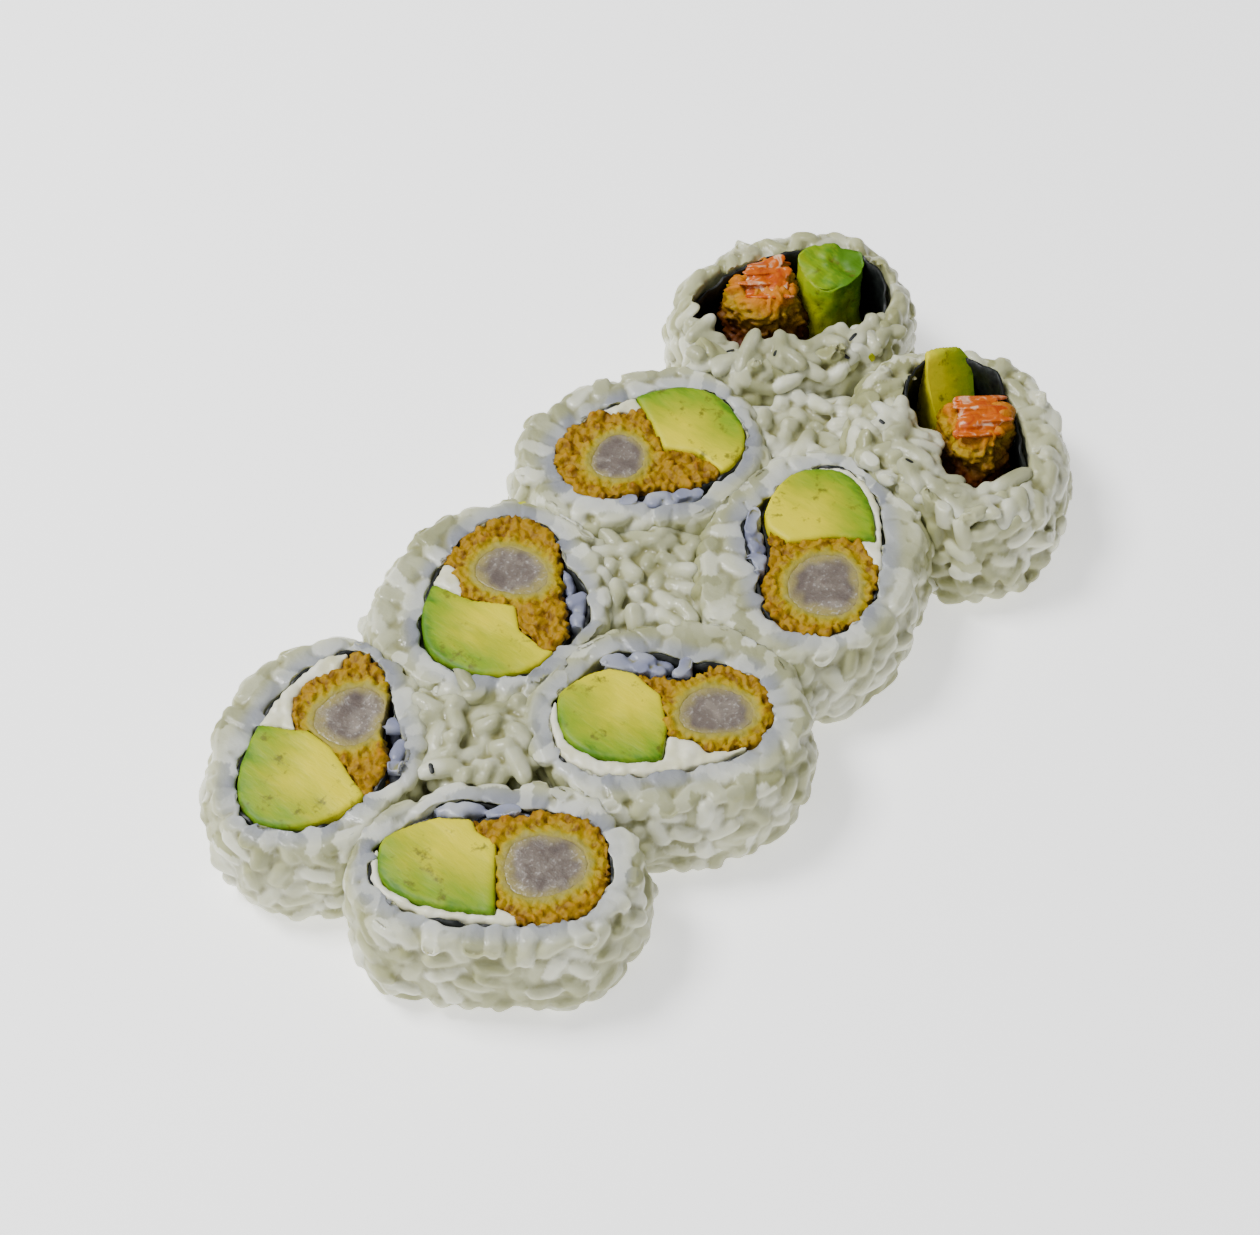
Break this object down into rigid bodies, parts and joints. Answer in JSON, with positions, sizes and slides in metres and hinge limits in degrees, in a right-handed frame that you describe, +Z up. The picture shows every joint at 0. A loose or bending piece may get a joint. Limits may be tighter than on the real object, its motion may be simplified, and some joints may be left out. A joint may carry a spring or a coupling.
{
  "type": "uramaki roll",
  "caption": "Cut uramaki roll: slices of rice round a nori wrap filled with crumbed prawn, avocado and cream cheese, standing on a cut face in two touching rows.",
  "frame": {"origin": "on the resting surface, under the middle of the block's bounding box", "axes": "+X along the two rows, towards the ragged ends of the roll; +Y across the rows; +Z up"},
  "size_m": [0.1868, 0.0944, 0.0256],
  "materials": {
    "rice": "moist cooked rice, slightly translucent",
    "nori": "dark dried seaweed, slightly glossy",
    "seam_rice": "moist rice tinted blue-grey by the seaweed",
    "avocado": "ripe avocado, yellow-green, moist",
    "prawn": "cooked prawn flesh, wet",
    "batter": "fried crumbs, rough and oily",
    "cheese": "cream cheese, smooth",
    "tail": "cooked prawn tail flesh, orange and white"
  },
  "bodies": {
    "root": {"slice1_avocado": "avocado", "slice1_batter": "batter", "slice1_cheese": "cheese", "slice1_nori": "nori", "slice1_prawn": "prawn", "slice1_rice": "rice", "slice1_seam_rice": "seam_rice", "slice2_avocado": "avocado", "slice2_batter": "batter", "slice2_cheese": "cheese", "slice2_nori": "nori", "slice2_prawn": "prawn", "slice2_rice": "rice", "slice2_seam_rice": "seam_rice", "slice3_avocado": "avocado", "slice3_batter": "batter", "slice3_cheese": "cheese", "slice3_nori": "nori", "slice3_prawn": "prawn", "slice3_rice": "rice", "slice3_seam_rice": "seam_rice", "slice4_avocado": "avocado", "slice4_batter": "batter", "slice4_cheese": "cheese", "slice4_nori": "nori", "slice4_prawn": "tail", "slice4_rice": "rice", "slice5_avocado": "avocado", "slice5_batter": "batter", "slice5_cheese": "cheese", "slice5_nori": "nori", "slice5_prawn": "prawn", "slice5_rice": "rice", "slice5_seam_rice": "seam_rice", "slice6_avocado": "avocado", "slice6_batter": "batter", "slice6_cheese": "cheese", "slice6_nori": "nori", "slice6_prawn": "prawn", "slice6_rice": "rice", "slice6_seam_rice": "seam_rice", "slice7_avocado": "avocado", "slice7_batter": "batter", "slice7_cheese": "cheese", "slice7_nori": "nori", "slice7_prawn": "prawn", "slice7_rice": "rice", "slice7_seam_rice": "seam_rice", "slice8_avocado": "avocado", "slice8_batter": "batter", "slice8_cheese": "cheese", "slice8_nori": "nori", "slice8_prawn": "tail", "slice8_rice": "rice"}
  },
  "joints": []
}
